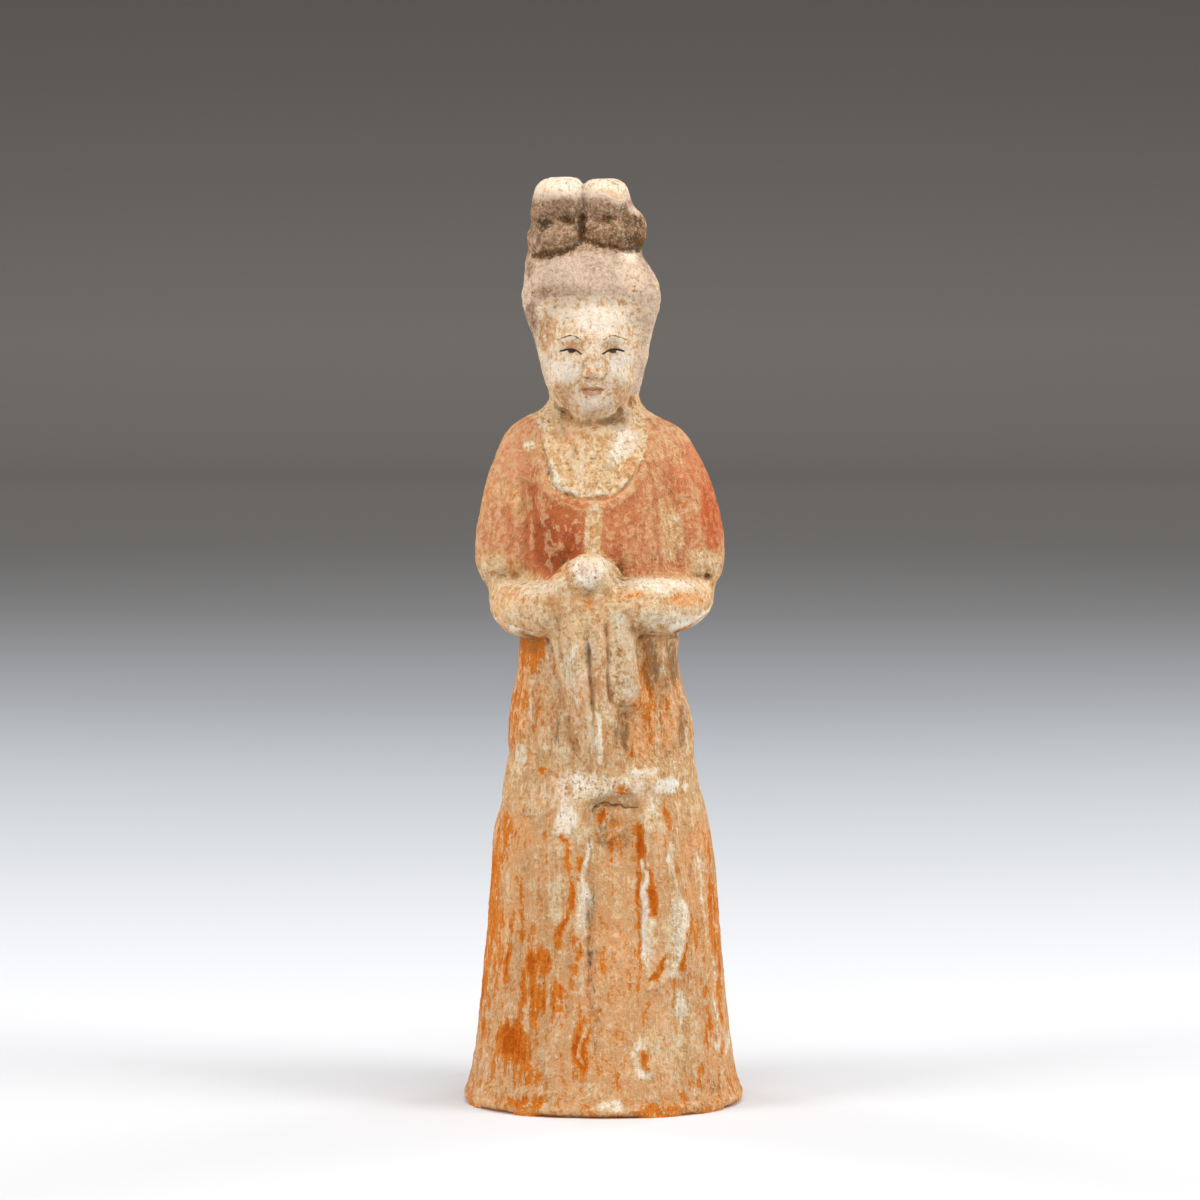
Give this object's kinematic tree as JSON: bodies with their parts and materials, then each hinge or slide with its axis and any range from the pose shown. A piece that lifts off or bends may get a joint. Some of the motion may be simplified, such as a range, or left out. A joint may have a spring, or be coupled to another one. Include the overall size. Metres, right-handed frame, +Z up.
{
  "type": "terracotta court lady figure",
  "caption": "Standing court lady of moulded terracotta, hands folded under a hanging cloth, long robe and high rolled hair, resting on a flat underside.",
  "frame": {"origin": "middle of the underside's outline, on the surface that the figure stands on", "axes": "+Z up the figure, -Y the way it faces, +X to the viewer's right"},
  "size_m": [0.0912, 0.0734, 0.3002],
  "materials": {
    "terracotta": "matt fired clay with worn white slip, red pigment and burial soil"
  },
  "bodies": {
    "root": {"court_lady": "terracotta"}
  },
  "joints": []
}
